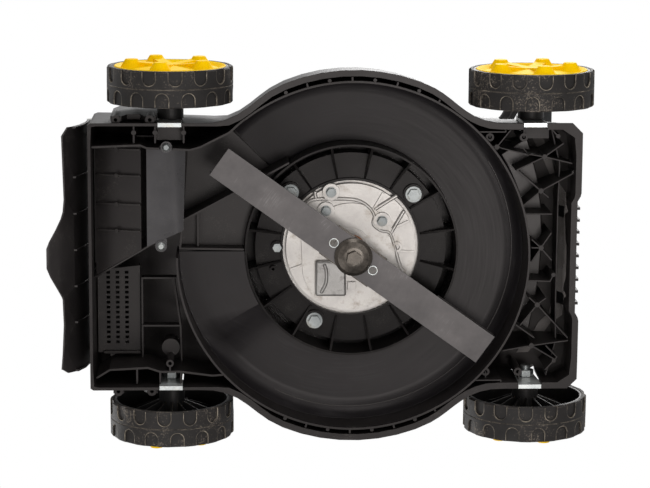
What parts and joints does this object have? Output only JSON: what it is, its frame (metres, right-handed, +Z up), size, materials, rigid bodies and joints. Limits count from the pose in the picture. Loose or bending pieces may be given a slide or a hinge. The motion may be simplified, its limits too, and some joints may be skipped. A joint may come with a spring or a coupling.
{
  "type": "lawn mower",
  "caption": "Walk-behind petrol rotary mower: moulded black deck with rear discharge, low blade, wheels with yellow caps, and a folded telescopic handle.",
  "frame": {"origin": "on the ground under the middle of the whole object's bounding box", "axes": "+Z up, +X forward, +Y to the mower's left"},
  "size_m": [0.6636, 0.4706, 0.4065],
  "materials": {
    "deck_plastic": "moulded polypropylene, satin with grass stains",
    "liner_plastic": "satin, polished by clippings",
    "grey_plate": "matte grey",
    "tyre": "worn tread",
    "rim_plastic": "satin",
    "yellow_plastic": "semi-gloss yellow",
    "zinc": "bright zinc plating",
    "blade_steel": "worn, speckled",
    "oily_steel": "dark and oily",
    "steel": "machined",
    "cast_alloy": "die cast",
    "seal_rubber": "rust stained",
    "black_plastic": "satin black",
    "muffler_steel": "heat resistant paint",
    "tank_plastic": "translucent natural",
    "white_plastic": "matte",
    "red_plastic": "gloss",
    "painted_tube": "black powder coat",
    "foam": "foam rubber",
    "ceramic": "glazed"
  },
  "bodies": {
    "deck": {"deck_shell": "deck_plastic", "chamber_walls": "deck_plastic", "scroll_liner": "liner_plastic", "engine_seat": "deck_plastic", "nose_ribs": "deck_plastic", "rear_ribs": "deck_plastic", "rear_floor": "deck_plastic", "chute_plate": "grey_plate", "bumper_ribs": "deck_plastic", "flap_brackets": "deck_plastic", "flap_rod": "zinc", "axle_bolts": "zinc", "axle_plates": "zinc", "oil_seal": "seal_rubber", "bolts": "zinc", "engine_sump": "cast_alloy", "crankcase": "cast_alloy", "cylinder": "cast_alloy", "cylinder_head": "cast_alloy", "ignition_coil": "black_plastic", "blower_housing": "black_plastic", "starter_cover": "yellow_plastic", "spark_plug": "ceramic", "muffler": "muffler_steel", "carburettor": "cast_alloy", "air_filter": "black_plastic", "fuel_tank": "tank_plastic", "handle_brackets": "deck_plastic", "pivot_bolts": "zinc"},
    "flap": {"rear_flap": "black_plastic"},
    "drive": {"crankshaft": "steel", "blade_adapter": "oily_steel", "blade": "blade_steel", "blade_washer": "oily_steel", "blade_bolt": "oily_steel", "flywheel": "steel"},
    "piston": {"piston": "steel"},
    "pulley": {"starter_pulley": "white_plastic"},
    "pull_grip": {"starter_grip": "black_plastic"},
    "primer": {"primer_bulb": "red_plastic"},
    "tank_cap": {"fuel_cap": "black_plastic"},
    "oil_stick": {"dipstick": "yellow_plastic"},
    "lower_handle": {"handle_legs": "painted_tube"},
    "left_clamp": {"left_clamp_knob": "yellow_plastic"},
    "right_clamp": {"right_clamp_knob": "yellow_plastic"},
    "top_handle": {"upper_handle": "painted_tube", "handle_grip": "foam"},
    "bail": {"bail_lever": "red_plastic"},
    "rear_left_wheel": {"rear_left_tyre": "tyre", "rear_left_rim": "rim_plastic", "rear_left_cap": "yellow_plastic"},
    "rear_right_wheel": {"rear_right_tyre": "tyre", "rear_right_rim": "rim_plastic", "rear_right_cap": "yellow_plastic"},
    "front_left_wheel": {"front_left_tyre": "tyre", "front_left_rim": "rim_plastic", "front_left_cap": "yellow_plastic"},
    "front_right_wheel": {"front_right_tyre": "tyre", "front_right_rim": "rim_plastic", "front_right_cap": "yellow_plastic"}
  },
  "joints": [
    {"name": "rear_left_spin", "type": "hinge", "parent": "deck", "child": "rear_left_wheel", "pos_m": [-0.18145, 0.2037, 0.076], "axis": [0, 1, 0], "continuous": true},
    {"name": "rear_right_spin", "type": "hinge", "parent": "deck", "child": "rear_right_wheel", "pos_m": [-0.18145, -0.2037, 0.076], "axis": [0, 1, 0], "continuous": true},
    {"name": "front_left_spin", "type": "hinge", "parent": "deck", "child": "front_left_wheel", "pos_m": [0.25585, 0.2, 0.076], "axis": [0, 1, 0], "continuous": true},
    {"name": "front_right_spin", "type": "hinge", "parent": "deck", "child": "front_right_wheel", "pos_m": [0.25585, -0.2, 0.076], "axis": [0, 1, 0], "continuous": true},
    {"name": "flap_swing", "type": "hinge", "parent": "deck", "child": "flap", "pos_m": [-0.28235, 0, 0.16], "axis": [0, 1, 0], "range_deg": [0, 75], "stiffness_Nm_per_rad": 0.35, "springref_deg": -34.38},
    {"name": "blade_spin", "type": "hinge", "parent": "deck", "child": "drive", "pos_m": [0.03915, 0, 0.1], "axis": [0, 0, 1], "continuous": true},
    {"name": "piston_slide", "type": "slide", "parent": "deck", "child": "piston", "axis": [-1, 0, 0], "range_m": [0, 0.042]},
    {"name": "pulley_spin", "type": "hinge", "parent": "deck", "child": "pulley", "pos_m": [0.03915, 0, 0.296], "axis": [0, 0, 1], "range_deg": [-1000, 0]},
    {"name": "grip_pull", "type": "slide", "parent": "deck", "child": "pull_grip", "axis": [-1, 0, 0], "range_m": [0, 0.5], "stiffness_N_per_m": 20, "springref_m": -0.3},
    {"name": "primer_press", "type": "slide", "parent": "deck", "child": "primer", "axis": [0, 0, -1], "range_m": [0, 0.007], "stiffness_N_per_m": 600, "springref_m": -0.002},
    {"name": "tank_cap_turn", "type": "hinge", "parent": "deck", "child": "tank_cap", "pos_m": [-0.11285, 0.048, 0.242], "axis": [0, 0, 1], "range_deg": [0, 90]},
    {"name": "dipstick_turn", "type": "hinge", "parent": "deck", "child": "oil_stick", "pos_m": [0.09115, -0.096, 0.178], "axis": [0, 0, 1], "range_deg": [0, 90]},
    {"name": "handle_fold", "type": "hinge", "parent": "deck", "child": "lower_handle", "pos_m": [-0.22485, 0, 0.168], "axis": [0, -1, 0], "range_deg": [0, 109]},
    {"name": "left_clamp_turn", "type": "hinge", "parent": "lower_handle", "child": "left_clamp", "pos_m": [0.20619, 0.118, 0.35138], "axis": [-0.3518, 0, 0.9361], "range_deg": [0, 300]},
    {"name": "right_clamp_turn", "type": "hinge", "parent": "lower_handle", "child": "right_clamp", "pos_m": [0.20619, -0.118, 0.35138], "axis": [-0.3518, 0, 0.9361], "range_deg": [0, 300]},
    {"name": "handle_extend", "type": "slide", "parent": "lower_handle", "child": "top_handle", "axis": [0.9361, 0, 0.3518], "range_m": [0, 0.34]},
    {"name": "bail_squeeze", "type": "hinge", "parent": "top_handle", "child": "bail", "pos_m": [0.27757, 0, 0.3718], "axis": [0, 1, 0], "range_deg": [0, 38], "stiffness_Nm_per_rad": 0.6, "springref_deg": -28.65}
  ],
  "couplings": [
    {"joint": "pulley_spin", "follows": "grip_pull", "rad_per_m": -33.333}
  ]
}
